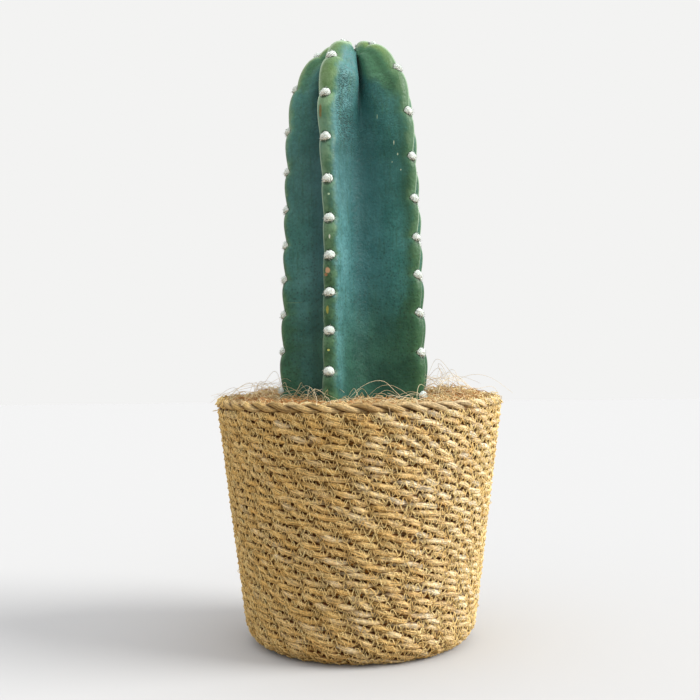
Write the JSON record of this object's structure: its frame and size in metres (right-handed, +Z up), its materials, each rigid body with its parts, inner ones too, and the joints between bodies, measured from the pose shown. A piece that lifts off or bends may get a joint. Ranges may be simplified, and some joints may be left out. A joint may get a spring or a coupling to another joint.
{
  "type": "potted peruvian apple cactus",
  "caption": "Columnar ribbed cactus with woolly areoles, in a nursery pot of soil set in a coiled seagrass basket and mulched with coconut fibre.",
  "frame": {"origin": "middle of the basket's underside, on the surface that it stands on", "axes": "+Z up along the cactus, -Y to the front, +X to the right seen from the front"},
  "size_m": [0.239, 0.2394, 0.505],
  "materials": {
    "seagrass_rope": "matte twisted dried seagrass, straw to honey with greenish and brown strands",
    "seagrass_rim": "matte twisted dried seagrass, a little paler and smoother than the wall",
    "pot_plastic": "moulded black nursery plastic",
    "soil": "dark crumbly bark and pumice mix",
    "coir": "dry coconut fibre, reddish tan",
    "cactus_skin": "waxy blue-green plant skin with white woolly areoles"
  },
  "bodies": {
    "root": {"basket_body": "seagrass_rope", "basket_rim_rope": "seagrass_rim", "nursery_pot": "pot_plastic", "potting_soil": "soil", "coir_mulch": "coir", "cactus_stem": "cactus_skin"}
  },
  "joints": []
}
